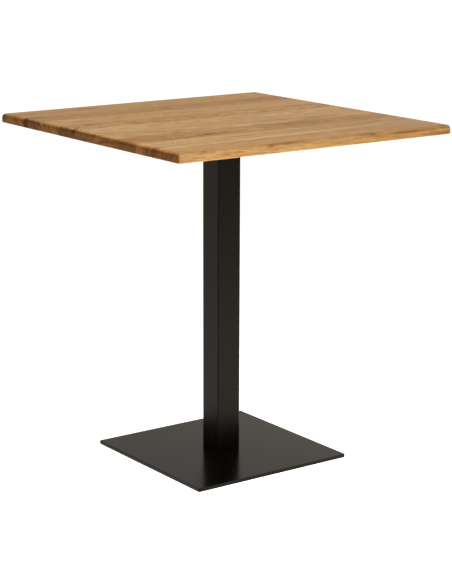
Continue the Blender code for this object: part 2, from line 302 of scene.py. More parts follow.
    dark = g.mul(ring_dark, 0.46 * figure)
    dark = g.madd(year_tone, 0.30 * figure, dark)
    dark = g.madd(bands, -1.00 * band, dark)
    dark = g.madd(broad, -1.00 * streak, dark)
    dark = g.madd(mottle, -0.95 * rough, dark)
    dark = g.madd(strand, -1.45 * rough, dark)
    dark = g.madd(fibre, -1.80 * rough, dark)
    dark = g.madd(pores, 0.45, dark)
    dark = g.madd(rays, -0.12, dark)

    def blob(mx, my, mz, lx, ly, lz, strength):
        rel = g.vec("MULTIPLY", g.vec("SUBTRACT", q, (mx, my, mz)), (1 / lx, 1 / ly, 1 / lz))
        return g.mul(g.math("EXPONENT", g.mul(g.vec("DOT_PRODUCT", rel, rel), -1.0)), strength)

    qx, qy, _qz = g.xyz(q)
    for m in marks:
        dark = g.add(dark, blob(*m))
    for m in lights:
        dark = g.math("SUBTRACT", dark, blob(*m))
    for x0, y0, x1, y1, width, strength in streaks:
        along = g.madd(qx, 1.0 / (x1 - x0), -x0 / (x1 - x0))
        off_line = g.math("SUBTRACT", qy, g.madd(along, y1 - y0, y0))
        d = g.mul(off_line, 1.0 / width)
        line = g.math("EXPONENT", g.mul(d, d, -1.0))
        ends = g.mul(g.smooth(along, -0.12, 0.25), g.smooth(along, 0.75, 1.12, 1.0, 0.0))
        dark = g.madd(g.mul(line, ends), strength, dark)
    for x0, x1, yc, width, pitch, slope, strength in chevrons:
        dy = g.math("ABSOLUTE", g.math("SUBTRACT", qy, yc))
        phase = g.madd(dy, slope / pitch, g.mul(x, 1.0 / pitch))
        phase = g.math("ADD", off(middle, 7.0), phase)
        wave = g.math("SINE", g.mul(phase, 6.28318))
        lens = g.math("EXPONENT", g.mul(dy, dy, -1.0 / (width * width)))
        reach = g.mul(g.smooth(qx, x0 - 0.02, x0 + 0.03), g.smooth(qx, x1 - 0.03, x1 + 0.02, 1.0, 0.0))
        patchy = g.noise(place(45.0, 120.0, 120.0, 71.0), 2.0, 0.5)
        wave = g.math("SUBTRACT", g.smooth(wave, -0.3, 1.0), 0.12)
        dark = g.madd(g.mul(g.mul(wave, lens), g.mul(reach, g.smooth(patchy, 0.34, 0.60))), strength, dark)
    if knot_halo is not None:
        dark = g.madd(knot_halo, 0.35, dark)

    # glue lines at both long joints
    gap = g.math("MINIMUM", g.math("ABSOLUTE", g.math("SUBTRACT", y, y_low)),
                 g.math("ABSOLUTE", g.math("SUBTRACT", y, y_high)))
    glue = g.smooth(gap, 0.00012, 0.00045, 1.0, 0.0)
    dark = g.madd(glue, 0.55, dark)

    drifted = g.mix(g.smooth(x, -0.36, 0.36), lean[0], lean[1])
    pale = scaled(tone, (1.16, 1.18, 1.22))
    deep = scaled(tone, (0.62, 0.53, 0.43))
    colour = g.mix(g.math("ADD", dark, 0.16, clamp=True), pale, deep)
    colour = g.mix(g.smooth(dark, 0.95, 2.1), colour, scaled(tone, (0.32, 0.21, 0.13)))
    colour = g.mix(g.smooth(dark, -0.25, -1.3), colour, scaled(tone, (1.36, 1.44, 1.62)))
    if knot_core is not None:
        colour = g.mix(knot_core, colour, scaled(tone, (0.20, 0.13, 0.09)))

    colour = g.vec("MULTIPLY", colour, drifted)
    if stains:
        stain = 0.0
        for m in stains:
            stain = g.add(blob(*m), stain)
        colour = g.mix(stain, colour, g.vec("MULTIPLY", colour, (0.64, 0.46, 0.30)))

    # end grain drinks more oil; its rings and rays show strongly
    nx = g.math("ABSOLUTE", g.xyz(normal)[0])
    is_end = g.smooth(nx, soak[0], soak[1])
    spoke = off(g.noise(g.vec("MULTIPLY", g.join(x, r, angle), (30.0, 60.0, 900.0)), 2.0, 0.6), 1.0)
    cloud = off(g.noise(place(25.0, 110.0, 110.0, 61.0), 3.0, 0.6), 1.0)
    speck = off(g.noise(place(260.0, 420.0, 420.0, 67.0), 2.0, 0.6), 1.0)
    end_dark = g.mul(ring_dark, 0.75 * figure)
    end_dark = g.madd(bands, -1.8 * band, end_dark)
    end_dark = g.madd(year_tone, 0.45 * figure, end_dark)
    end_dark = g.madd(spoke, -1.0, end_dark)
    end_dark = g.madd(cloud, -1.5 * rough, end_dark)
    end_dark = g.madd(speck, -1.2 * rough, end_dark)
    for m in marks:
        if m[0] < -0.33:
            end_dark = g.add(end_dark, blob(*m))
    for m in lights:
        if m[0] < -0.33:
            end_dark = g.math("SUBTRACT", end_dark, blob(*m))
    base = scaled(end, tone)
    end_colour = g.mix(g.math("ADD", end_dark, 0.25, clamp=True), scaled(base, (1.35, 1.40, 1.45)),
                       scaled(base, (0.50, 0.42, 0.36)))
    # painted shade: the long outer edge's colour is darkened, and on the left also cooled, to tone down the
    # light on that face
    if side is not None:
        ny = g.math("ABSOLUTE", g.xyz(normal)[1])
        side_shade_factor = g.mix(g.smooth(x, -0.12, 0.14), side[0], side[1])
        colour = g.mix(g.smooth(ny, 0.35, 0.95), colour, g.vec("MULTIPLY", colour, side_shade_factor))
    colour = g.mix(is_end, colour, end_colour)
    # painted highlight: a warmer golden band on the rounded arris between face and end grain, standing in
    # for light caught on the round
    arris = g.mul(g.smooth(nx, 0.22, 0.60), g.smooth(nx, 0.75, 1.0, 1.0, 0.0))
    colour = g.mix(arris, colour, g.vec("MULTIPLY", colour, (1.10, 0.92, 0.82)))
    g._in(shader.inputs["Base Color"], colour)

    gloss = g.madd(pores, 0.12, g.madd(broad, 0.14, 0.50))
    gloss = g.math("ADD", gloss, g.mul(is_end, 0.22), clamp=True)
    g._in(shader.inputs["Roughness"], gloss)
    shader.inputs["IOR"].default_value = 1.5
    shader.inputs["Specular IOR Level"].default_value = 0.12
    height = g.math("SUBTRACT", g.madd(ring_dark, -0.25, 0.25), g.mul(pores, 0.9))
    height = g.madd(strand, 0.30, g.madd(fibre, 0.35, height))
    g._in(shader.inputs["Normal"], g.bump(height, 0.35, 0.00022))
    return mat


# ---------------------------------------------------------------- metal and nylon
def powder_coat(name, colour, roughness, level, tint, mottle=1.0):
    """Fine-textured satin powder coat: orange peel, faint clouding, patchy rubbing in the gloss."""
    mat, g, shader = new_material(name)
    p, normal = g.coords()
    cloud = g.noise(g.vec("MULTIPLY", p, (7.0, 7.0, 7.0)), 4.0, 0.6)
    rub = g.noise(g.vec("MULTIPLY", p, (30.0, 30.0, 30.0)), 3.0, 0.6)
    speck = g.noise(g.vec("MULTIPLY", p, (900.0, 900.0, 900.0)), 1.0, 0.5)
    peel = g.noise(g.vec("MULTIPLY", p, (420.0, 420.0, 420.0)), 2.0, 0.5)
    k = g.madd(g.math("SUBTRACT", cloud, 0.5), 0.55 * mottle, 1.0)
    k = g.madd(g.math("SUBTRACT", speck, 0.5), 0.35 * mottle, k)
    col = g.mix(1.0, colour, g.join(k, k, k), "MULTIPLY")
    g._in(shader.inputs["Base Color"], col)
    rough = g.madd(g.math("SUBTRACT", cloud, 0.5), 0.12 * mottle, roughness)
    rough = g.madd(g.math("SUBTRACT", rub, 0.5), 0.05 * mottle, rough)
    g._in(shader.inputs["Roughness"], rough)
    shader.inputs["IOR"].default_value = 1.5
    shader.inputs["Specular IOR Level"].default_value = level
    shader.inputs["Specular Tint"].default_value = tint + (1.0,)
    height = g.madd(speck, 0.30, peel)
    g._in(shader.inputs["Normal"], g.bump(height, 0.30 * mottle, 0.00004))
    return mat


def zinc_plate(name):
    mat, g, shader = new_material(name, Metallic=1.0)
    p, normal = g.coords()
    stain = g.noise(g.vec("MULTIPLY", p, (160.0, 160.0, 160.0)), 3.0, 0.6)
    hair = g.noise(g.vec("MULTIPLY", p, (900.0, 900.0, 5200.0)), 1.0, 0.5)
    col = g.mix(stain, (0.50, 0.51, 0.53), (0.66, 0.665, 0.66))
    g._in(shader.inputs["Base Color"], col)
    g._in(shader.inputs["Roughness"], g.madd(stain, 0.16, g.madd(hair, 0.10, 0.20)))
    g._in(shader.inputs["Normal"], g.bump(g.add(hair, stain), 0.20, 0.00003))
    return mat


def mild_steel(name):
    mat, g, shader = new_material(name, Metallic=1.0)
    p, normal = g.coords()
    mill = g.noise(g.vec("MULTIPLY", p, (60.0, 60.0, 60.0)), 4.0, 0.65)
    line = g.noise(g.vec("MULTIPLY", p, (1400.0, 60.0, 60.0)), 1.0, 0.5)
    col = g.mix(g.smooth(mill, 0.42, 0.64), (0.135, 0.130, 0.128), (0.26, 0.235, 0.215))
    g._in(shader.inputs["Base Color"], col)
    g._in(shader.inputs["Roughness"], g.madd(mill, 0.25, g.madd(line, 0.10, 0.32)))
    g._in(shader.inputs["Normal"], g.bump(g.add(line, mill), 0.25, 0.00005))
    return mat


def nylon(name):
    mat, g, shader = new_material(name)
    p, normal = g.coords()
    grain = g.noise(g.vec("MULTIPLY", p, (1300.0, 1300.0, 1300.0)), 2.0, 0.6)
    wear = g.noise(g.vec("MULTIPLY", p, (240.0, 240.0, 240.0)), 3.0, 0.6)
    nz = g.xyz(normal)[2]
    under = g.smooth(nz, -0.98, -0.6, 1.0, 0.0)
    scuff = g.mul(g.smooth(wear, 0.50, 0.62), under)
    col = g.mix(scuff, (0.012, 0.012, 0.013), (0.050, 0.047, 0.043))
    g._in(shader.inputs["Base Color"], col)
    g._in(shader.inputs["Roughness"], g.madd(scuff, 0.18, g.madd(grain, 0.12, 0.44)))
    g._in(shader.inputs["Normal"], g.bump(grain, 0.35, 0.00005))
    return mat


# =====================================================================
# mesh tools
# =====================================================================
def bridge(bm, a, b):
    n = len(a)
    for i in range(n):
        j = (i + 1) % n
        bm.faces.new((a[i], a[j], b[j], b[i]))


def rings_of(bm, levels):
    return [[bm.verts.new((x, y, z)) for x, y in outline] for z, outline in levels]


def stack(bm, levels):
    rings = rings_of(bm, levels)
    for a, b in zip(rings, rings[1:]):
        bridge(bm, a, b)
    bm.faces.new(list(reversed(rings[0])))
    bm.faces.new(rings[-1])


def arc(cx, cy, r, a0, a1, steps):
    return [(cx + r * math.cos(math.radians(a0 + (a1 - a0) * i / steps)),
             cy + r * math.sin(math.radians(a0 + (a1 - a0) * i / steps)))
            for i in range(steps + 1)]


def rounded_square(half, r, steps, support=0.0):
    """Outline with round corners; support adds a point just beyond each arc's ends."""
    c = half - r
    out = []
    for k, (cx, cy) in enumerate(((c, -c), (c, c), (-c, c), (-c, -c))):
        a = -90 + 90 * k
        pts = arc(cx, cy, r, a, a + 90, steps)
        if support:
            t0 = math.radians(a)
            t1 = math.radians(a + 90)
            pts.insert(0, (pts[0][0] + math.sin(t0) * support, pts[0][1] - math.cos(t0) * support))
            pts.append((pts[-1][0] - math.sin(t1) * support, pts[-1][1] + math.cos(t1) * support))
        out += pts
    return out


def circle(r, sides, x=0.0, y=0.0):
    return [(x + r * math.cos(2 * math.pi * i / sides), y + r * math.sin(2 * math.pi * i / sides))
            for i in range(sides)]


def hexagon(flats, sides, x=0.0, y=0.0):
    """A hexagon's outline sampled at the angles of a circle of that many sides."""
    out = []
    for i in range(sides):
        a = 2 * math.pi * i / sides
        b = (a + math.pi / 6) % (math.pi / 3) - math.pi / 6
        r = flats / 2 / math.cos(b)
        out.append((x + r * math.cos(a), y + r * math.sin(a)))
    return out


def turned(bm, profile, sides, x=0.0, y=0.0):
    """Closed turned solid; profile (r, z) starts and ends on the axis."""
    first = bm.verts.new((x, y, profile[0][1]))
    last = bm.verts.new((x, y, profile[-1][1]))
    rings = rings_of(bm, [(z, circle(r, sides, x, y)) for r, z in profile[1:-1]])
    for a, b in zip(rings, rings[1:]):
        bridge(bm, a, b)
    for i in range(sides):
        j = (i + 1) % sides
        bm.faces.new((first, rings[0][j], rings[0][i]))
        bm.faces.new((last, rings[-1][i], rings[-1][j]))


def fillet(profile_from, corner, profile_to, r, steps):
    """Points of a round of radius r at a corner of a (r, z) profile."""
    a, c, b = Vector(profile_from), Vector(corner), Vector(profile_to)
    u, v = (a - c).normalized(), (b - c).normalized()
    half = math.acos(max(-1, min(1, u.dot(v)))) / 2
    t = r / math.tan(half)
    centre = c + (u + v).normalized() * (r / math.sin(half))
    p0, p1 = c + u * t, c + v * t
    d0, d1 = p0 - centre, p1 - centre
    sweep = math.atan2(d0.x * d1.y - d0.y * d1.x, d0.dot(d1))
    out = []
    for i in range(steps + 1):
        a = sweep * i / steps
        out.append((centre.x + d0.x * math.cos(a) - d0.y * math.sin(a),
                    centre.y + d0.x * math.sin(a) + d0.y * math.cos(a)))
    return out


def finish_mesh(name, bm, mat, sharp=35.0, location=(0.0, 0.0, 0.0)):
    bmesh.ops.recalc_face_normals(bm, faces=bm.faces)
    mesh = bpy.data.meshes.new(name)
    bm.to_mesh(mesh)
    bm.free()
    mesh.transform(Matrix.Translation(Vector(location)))
    mesh.shade_smooth()
    mesh.set_sharp_from_angle(angle=math.radians(sharp))
    obj = bpy.data.objects.new(name, mesh)
    bpy.context.scene.collection.objects.link(obj)
    if mat is not None:
        mesh.materials.append(mat)
    return obj


def cut(obj, *tools):
    """Cuts the tools out of obj and leaves a plain mesh."""
    for tool in tools:
        mod = obj.modifiers.new("cut", "BOOLEAN")
        mod.operation = "DIFFERENCE"
        mod.solver = "EXACT"
        mod.object = tool
    bpy.context.view_layer.update()
    done = bpy.data.meshes.new_from_object(
        obj.evaluated_get(bpy.context.evaluated_depsgraph_get()))
    old = obj.data
    obj.modifiers.clear()
    obj.data = done
    done.name = obj.name
    bpy.data.meshes.remove(old)
    done.shade_smooth()
    done.set_sharp_from_angle(angle=math.radians(35.0))
    for tool in tools:
        mesh = tool.data
        bpy.data.objects.remove(tool)
        bpy.data.meshes.remove(mesh)


def thread_rings(bm, r_out, depth, pitch, z0, z1, sides, per_turn, run_in=0.5, run_out=0.5,
                 right_handed=1.0):
    """Rings of a helical thread on a shank between z0 and z1, fading in and out."""
    n = max(2, int(round(abs(z1 - z0) / pitch * per_turn)))
    rings = []
    for j in range(n + 1):
        z = z0 + (z1 - z0) * j / n
        fade = min(1.0, abs(z - z0) / (run_in * pitch + 1e-9), abs(z1 - z) / (run_out * pitch + 1e-9))
        ring = []
        for i in range(sides):
            a = 2 * math.pi * i / sides
            ph = (z / pitch - right_handed * a / (2 * math.pi)) % 1.0
            tri = 1.0 - abs(2.0 * ph - 1.0)              # 0 at the root, 1 at the crest
            tri = min(1.0, max(0.0, (tri - 0.10) / 0.78))
            r = r_out - depth * (1.0 - tri) * fade
            ring.append(bm.verts.new((r * math.cos(a), r * math.sin(a), z)))
        rings.append(ring)
    for a, b in zip(rings, rings[1:]):
        bridge(bm, a, b)
    return rings


def standing_for(obj, body, slot, *nodes):
    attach(obj, body)
    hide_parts(*nodes)
    return obj


# =====================================================================
# materials of this table
# =====================================================================
# One powder coat on the column and both plates, in two copies tuned to how each is lit: the differing
# near-black base colours are painted light and shade, and the warm specular tints are a painted warm
# reflection.
COLUMN_COAT = powder_coat("column_coat_satin", (0.0026, 0.0020, 0.0006), 0.28, 0.083,
                          (1.0, 0.94, 0.82), 0.6)
PLATE_COAT = powder_coat("plate_coat_satin", (0.0022, 0.0018, 0.0013), 0.215, 0.100,
                         (1.0, 0.95, 0.83), 0.6)
ZINC = zinc_plate("zinc_plated")
STEEL = mild_steel("mild_steel_bare")
NYLON = nylon("nylon_moulded")

# One entry a stave, back to front.  tone is the oiled face's own colour, end what
# its end grain keeps of it.
STAVES = [
    dict(seed=1, pith=(0.372, 0.655), tilt=(0.020, 0.030), ring=0.0030,
         tone=linear((167, 128, 77)), end=(0.505, 0.402, 0.305), soak=(0.48, 0.98), figure=0.9, streak=0.8,
         marks=[(-0.158, 0.306, 0.76, 0.030, 0.010, 0.02, 0.35),
                (-0.36, 0.335, 0.75, 0.03, 0.007, 0.05, 0.35)]),
    dict(seed=2, pith=(0.160, 0.790), tilt=(-0.015, 0.004), ring=0.0026,
         tone=linear((159, 117, 69)), end=(0.382, 0.290, 0.172), soak=(0.31, 0.82), figure=0.9, streak=0.9,
         marks=[(0.26, 0.228, 0.76, 0.090, 0.020, 0.03, 0.42),
                (-0.338, 0.245, 0.75, 0.034, 0.011, 0.03, 1.0),
                (-0.006, 0.205, 0.76, 0.012, 0.018, 0.03, 0.40),
                (0.094, 0.233, 0.76, 0.012, 0.008, 0.02, 0.60)]),
    dict(seed=3, pith=(0.235, 0.680), tilt=(0.030, 0.110), ring=0.0032,
         tone=linear((176, 137, 84)), end=(0.487, 0.349, 0.253), soak=(0.43, 0.96), figure=0.85, streak=0.6,
         marks=[(-0.27, 0.128, 0.76, 0.040, 0.010, 0.03, 0.28)],
         chevrons=[(-0.21, 0.03, 0.150, 0.026, 0.0160, 0.8, 0.60)]),
    dict(seed=4, pith=(0.055, 0.905), tilt=(0.030, 0.060), ring=0.0028,
         tone=linear((169, 127, 74)), end=(0.344, 0.269, 0.172), soak=(0.30, 0.80), figure=0.9, streak=0.8,
         marks=[(-0.286, 0.086, 0.76, 0.018, 0.007, 0.03, 0.50),
                (-0.345, 0.041, 0.757, 0.015, 0.006, 0.005, 1.2)],
         streaks=[(-0.225, 0.060, -0.085, 0.036, 0.0045, 0.75),
                  (-0.352, 0.041, -0.318, 0.068, 0.0028, 1.7),
                  (-0.10, 0.040, 0.33, 0.039, 0.0060, 0.30)],
         knots=[(-0.284, 0.084, 0.0045, 0.45)]),
    dict(seed=5, pith=(-0.006, 0.690), tilt=(-0.016, 0.060), ring=0.0034,
         tone=linear((178, 141, 90)), end=(0.366, 0.290, 0.204), soak=(0.31, 0.82), figure=0.75,
         lean=((1.04, 1.04, 1.05), (0.95, 0.92, 0.87)), streak=0.5,
         marks=[(-0.36, -0.002, 0.742, 0.03, 0.012, 0.004, 0.9)]),
    dict(seed=6, pith=(-0.100, 0.600), tilt=(0.012, -0.030), ring=0.0028,
         tone=linear((177, 138, 86)), end=(0.500, 0.376, 0.296), soak=(0.36, 0.86), figure=0.9, streak=0.6),
    dict(seed=12, pith=(-0.158, 0.835), tilt=(-0.020, 0.050), ring=0.0028,
         tone=linear((164, 120, 67)), end=(0.414, 0.328, 0.242), soak=(0.42, 0.97), figure=0.8,
         lean=((1.07, 1.05, 1.02), (0.93, 0.91, 0.85)), streak=0.7,
         marks=[(0.09, -0.146, 0.76, 0.085, 0.024, 0.03, 0.42),
                (0.30, -0.160, 0.76, 0.050, 0.010, 0.03, 0.30),
                (-0.13, -0.170, 0.76, 0.050, 0.012, 0.03, 0.25)],
         lights=[(-0.055, -0.148, 0.76, 0.045, 0.020, 0.03, 0.30)],
         streaks=[(-0.290, -0.187, -0.150, -0.174, 0.0060, 0.60),
                  (-0.170, -0.172, -0.070, -0.166, 0.0050, 0.45)],
         knots=[(-0.155, -0.173, 0.0044, 1.0), (0.247, -0.158, 0.0042, 0.6)]),
    dict(seed=8, pith=(0.020, 0.745), tilt=(0.020, 0.020), ring=0.0042,
         tone=linear((178, 140, 88)), end=(0.428, 0.297, 0.194), soak=(0.45, 0.97), figure=1.2,
         lean=((1.07, 1.08, 1.08), (0.90, 0.86, 0.82)), streak=0.6,
         marks=[(0.24, -0.225, 0.76, 0.17, 0.020, 0.05, 0.30),
                (-0.36, -0.262, 0.75, 0.030, 0.0060, 0.05, 0.9),
                (-0.36, -0.243, 0.75, 0.030, 0.0035, 0.05, 0.6)],
         lights=[(-0.36, -0.210, 0.75, 0.022, 0.013, 0.05, 1.1),
                 (-0.315, -0.281, 0.76, 0.030, 0.006, 0.03, 0.6)],
         streaks=[(-0.175, -0.271, 0.110, -0.262, 0.0042, -1.6),
                  (-0.350, -0.279, -0.100, -0.271, 0.0060, -0.40),
                  (0.080, -0.258, 0.330, -0.248, 0.0060, -0.40),
                  (-0.300, -0.289, 0.340, -0.289, 0.0030, 0.35)],
         chevrons=[(-0.350, -0.20, -0.226, 0.034, 0.0115, 0.9, -1.2)]),
    dict(seed=9, pith=(-0.440, 0.655), tilt=(0.015, -0.090), ring=0.0015,
         tone=linear((172, 130, 77)), end=(0.410, 0.305, 0.199), soak=(0.56, 0.97), figure=1.0, band=0.35,
         # side: painted shade, a darker front long edge
         streak=0.6, side=((0.88, 0.94, 1.08), (0.88, 0.92, 0.89)),
         lean=((1.14, 1.14, 1.10), (0.90, 0.87, 0.83)), rough=1.15,
         stains=[(-0.132, -0.3485, 0.7565, 0.011, 0.008, 0.0028, 1.0),
                 (-0.102, -0.3480, 0.7572, 0.030, 0.008, 0.0020, 0.8),
                 (-0.065, -0.3475, 0.7580, 0.024, 0.008, 0.0018, 0.5),
                 (0.134, -0.3485, 0.7568, 0.009, 0.008, 0.0024, 1.1),
                 (0.112, -0.347, 0.7578, 0.016, 0.008, 0.0015, 0.6),
                 (0.222, -0.350, 0.7545, 0.032, 0.008, 0.0022, 1.1),
                 (0.188, -0.3495, 0.7553, 0.018, 0.008, 0.0017, 0.7),
                 (0.262, -0.3495, 0.7550, 0.024, 0.008, 0.0017, 0.7),
                 (0.325, -0.350, 0.7435, 0.050, 0.010, 0.0040, 0.7),
                 (0.325, -0.350, 0.7560, 0.030, 0.008, 0.0020, 0.5),
                 (-0.290, -0.3485, 0.7575, 0.008, 0.008, 0.0020, 0.6),
                 (-0.187, -0.3485, 0.7575, 0.008, 0.008, 0.0018, 0.5)]),
]


# =====================================================================
# the oak top
# =====================================================================
top_lo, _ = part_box("stave_9")
_, top_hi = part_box("stave_1")
HALF = top_hi.x
Z0, Z1 = top_lo.z, top_hi.z
EDGE_R, UNDER_R, CORNER_R = 0.009, 0.003, 0.006
SEAM = 0.00002                       # between glued staves

rise = []
for i in range(7):
    a = math.radians(90.0 * i / 6)
    rise.append((Z0 + UNDER_R * (1 - math.cos(a)), UNDER_R * (1 - math.sin(a))))
for i in range(13):
    a = math.radians(90.0 * i / 12)
    rise.append((Z1 - EDGE_R * (1 - math.sin(a)), EDGE_R * (1 - math.cos(a))))
rise.insert(0, (Z0, UNDER_R + 0.0005))
rise.insert(8, (Z0 + UNDER_R + 0.0005, 0.0))
rise.insert(9, (Z1 - EDGE_R - 0.0005, 0.0))
rise.append((Z1, EDGE_R + 0.0005))


def middle_stave(name, y_low, y_high, mat):
    section = [(HALF - d, z) for z, d in rise] + [(-HALF + d, z) for z, d in reversed(rise)]
    bm = bmesh.new()
    a = [bm.verts.new((x, y_low, z)) for x, z in section]
    b = [bm.verts.new((x, y_high, z)) for x, z in section]
    bridge(bm, a, b)
    bm.faces.new(a)
    bm.faces.new(list(reversed(b)))
    return finish_mesh(name, bm, mat)


def edge_stave(name, y_joint, side, mat):
    levels = []
    for z, d in rise:
        a = HALF - d
        r = max(CORNER_R - d, 0.0010)
        outline = [(-a, y_joint * side), (a, y_joint * side),
                   (a, a - r - 0.0005)]
        outline += arc(a - r, a - r, r, 0, 90, 8)
        outline += [(a - r - 0.0005, a), (-a + r + 0.0005, a)]
        outline += arc(-a + r, a - r, r, 90, 180, 8)
        outline += [(-a, a - r - 0.0005)]
        levels.append((z, [(x, y * side) for x, y in outline]))
    bm = bmesh.new()
    stack(bm, levels)
    return finish_mesh(name, bm, mat)


def middle_of(node):
    lo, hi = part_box(node)
    return (lo + hi) / 2


boxes = [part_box("stave_%d" % i) for i in range(1, 10)]
joints = [(boxes[i][0].y + boxes[i + 1][1].y) / 2 for i in range(8)]
screws = [middle_of("top_screw_%d" % i) for i in range(1, 9)]
screw_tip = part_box("top_screw_1")[1].z
for i, spec in enumerate(STAVES):
    node = "stave_%d" % (i + 1)
    y_high = joints[i - 1] if i else HALF
    y_low = joints[i] if i < 8 else -HALF
    mat = oak("oak_%s" % node, y_low=y_low if i < 8 else -1.0, y_high=y_high if i else 1.0, **spec)
    name = "oak_" + node
    if i == 0:
        obj = edge_stave(name, joints[0] + SEAM / 2, 1, mat)
    elif i == 8:
        obj = edge_stave(name, joints[7] - SEAM / 2, -1, mat)
    else:
        obj = middle_stave(name, joints[i] + SEAM / 2, joints[i - 1] - SEAM / 2, mat)
    holes = [c for c in screws if boxes[i][0].y < c.y < boxes[i][1].y]
    if holes:
        bm = bmesh.new()
        for c in holes:
            turned(bm, [(0, Z0 - 0.002), (0.0028, Z0 - 0.002), (0.0028, screw_tip - 0.0002),
                        (0, screw_tip + 0.001)], 24, c.x, c.y)
        cut(obj, finish_mesh("tool", bm, None))
    standing_for(obj, TABLE, "oak_%d" % (i + 1), node)


# =====================================================================
# column
# =====================================================================
col_lo, col_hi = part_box("column_tube")
bm = bmesh.new()
outer_r, wall, c = 0.003, 0.002, 0.0004
levels_out = [(col_lo.z, rounded_square(col_hi.x - c, outer_r - c, 10, 0.0005)),
              (col_lo.z + c, rounded_square(col_hi.x, outer_r, 10, 0.0005)),
              (col_lo.z + 0.004, rounded_square(col_hi.x, outer_r, 10, 0.0005)),
              (col_hi.z - 0.004, rounded_square(col_hi.x, outer_r, 10, 0.0005)),
              (col_hi.z - c, rounded_square(col_hi.x, outer_r, 10, 0.0005)),
              (col_hi.z, rounded_square(col_hi.x - c, outer_r - c, 10, 0.0005))]
levels_in = [(col_hi.z, rounded_square(col_hi.x - wall, outer_r - wall, 10, 0.0005)),
             (col_lo.z, rounded_square(col_hi.x - wall, outer_r - wall, 10, 0.0005))]
tube = rings_of(bm, levels_out + levels_in)
for a, b in zip(tube, tube[1:] + tube[:1]):
    bridge(bm, a, b)
standing_for(finish_mesh("column", bm, COLUMN_COAT), TABLE, "column_coat", "column_tube")

for node in ("column_head_block", "column_foot_block"):
    NODES[node].data.materials.clear()
    NODES[node].data.materials.append(STEEL)


# =====================================================================
# plates
# =====================================================================
def plate_levels(lo, hi, corner, edge, steps):
    """Outlines up a plate whose arrises are rounded to radius edge."""
    half = hi.x
    out = []
    for i in range(4):
        a = math.radians(90.0 * i / 3)
        d = edge * (1 - math.sin(a))
        out.append((lo.z + edge * (1 - math.cos(a)),
                    rounded_square(half - d, corner - d, steps, 0.0008)))
    for i in range(4):
        a = math.radians(90.0 * i / 3)
        d = edge * (1 - math.cos(a))
        out.append((hi.z - edge * (1 - math.sin(a)),
                    rounded_square(half - d, corner - d, steps, 0.0008)))
    inner = rounded_square(half - edge - 0.0008, corner - edge, steps, 0.0008)
    return [(lo.z, inner)] + out + [(hi.z, inner)]


bolts = [middle_of("foot_bolt_%d" % i) for i in range(1, 5)]
bolt_lo, bolt_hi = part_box("foot_bolt_1")
HEAD_R = (bolt_hi.x - bolt_lo.x) / 2
BOLT_R, SLOPE_GAP = 0.004, 0.00043

base_lo, base_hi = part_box("base_plate")
bm = bmesh.new()
stack(bm, plate_levels(base_lo, base_hi, 0.004, 0.0008, 10))
base = finish_mesh("base", bm, PLATE_COAT)
low, high = base_lo.z - 0.002, base_hi.z + 0.002
cone_z = bolt_lo.z + (HEAD_R - BOLT_R)
bm = bmesh.new()
for c in bolts:
    turned(bm, [(0, low), (BOLT_R + SLOPE_GAP + (cone_z - low), low), (BOLT_R + SLOPE_GAP, cone_z),
                (BOLT_R + SLOPE_GAP, high), (0, high)], 48, c.x, c.y)
studs = [middle_of("glide_stud_%d" % i) for i in range(1, 5)]
for c in studs:
    turned(bm, [(0, low), (0.00435 + 0.0006 + (base_lo.z - low), low),
                (0.00435, base_lo.z + 0.0006), (0.00435, base_lo.z + 0.0065),
                (0, base_lo.z + 0.0065)], 48, c.x, c.y)
cut(base, finish_mesh("tool", bm, None))
standing_for(base, TABLE, "plate_coat", "base_plate")

head_lo, head_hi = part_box("head_plate")
bm = bmesh.new()
stack(bm, plate_levels(head_lo, head_hi, 0.012, 0.0006, 10))
head = finish_mesh("head", bm, PLATE_COAT)
low, high = head_lo.z - 0.002, head_hi.z + 0.002
top_bolt_lo, top_bolt_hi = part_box("head_bolt_1")
cone_z = top_bolt_hi.z - (HEAD_R - BOLT_R)
bm = bmesh.new()
for c in bolts:
    turned(bm, [(0, low), (BOLT_R + SLOPE_GAP, low), (BOLT_R + SLOPE_GAP, cone_z),
                (BOLT_R + SLOPE_GAP + (high - cone_z), high), (0, high)], 48, c.x, c.y)
for c in screws:
    s = 0.0 if abs(c.y) < 0.001 else 0.004
    if s:
        outline = arc(c.x, c.y + s, 0.003, 0, 180, 16) + arc(c.x, c.y - s, 0.003, 180, 360, 16)
    else:
        outline = circle(0.003, 32, c.x, c.y)
    stack(bm, [(low, outline), (high, outline)])
cut(head, finish_mesh("tool", bm, None))
standing_for(head, TABLE, "plate_coat", "head_plate")


# =====================================================================
# fasteners
# =====================================================================
def socket_bolt(name, centre, face_z, up):
    """M8 countersunk socket bolt: head face at face_z, shank along up."""
    sides = 36
    length = bolt_hi.z - bolt_lo.z
    cone = HEAD_R - BOLT_R
    bm = bmesh.new()
    head = rings_of(bm, [
        (0.0025, hexagon(0.0046, sides)), (0.0024, hexagon(0.0050, sides)),
        (0.0003, hexagon(0.0050, sides)), (0.0, hexagon(0.0056, sides)),
        (0.0, circle(HEAD_R - 0.00035, sides)), (0.00015, circle(HEAD_R - 0.0001, sides)),
        (0.0004, circle(HEAD_R - 0.0001, sides)), (cone, circle(BOLT_R, sides))])
    for a, b in zip(head, head[1:]):
        bridge(bm, a, b)
    threads = thread_rings(bm, BOLT_R, 0.00065, 0.00125, cone + 0.001, length - 0.0009, sides, 8,
                           right_handed=up)
    bridge(bm, head[-1], threads[0])
    tip = rings_of(bm, [(length, circle(BOLT_R - 0.0009, sides))])[0]
    bridge(bm, threads[-1], tip)
    bm.faces.new(head[0])
    bm.faces.new(tip)
    for v in bm.verts:
        v.co.z *= up
    return finish_mesh(name, bm, ZINC, 40, (centre.x, centre.y, face_z))


for i in range(1, 5):
    c = middle_of("foot_bolt_%d" % i)
    standing_for(socket_bolt("bolt_foot_%d" % i, c, bolt_lo.z, 1.0), TABLE, "zinc",
                 "foot_bolt_%d" % i)
    c = middle_of("head_bolt_%d" % i)
    standing_for(socket_bolt("bolt_head_%d" % i, c, top_bolt_hi.z, -1.0), TABLE, "zinc",
                 "head_bolt_%d" % i)


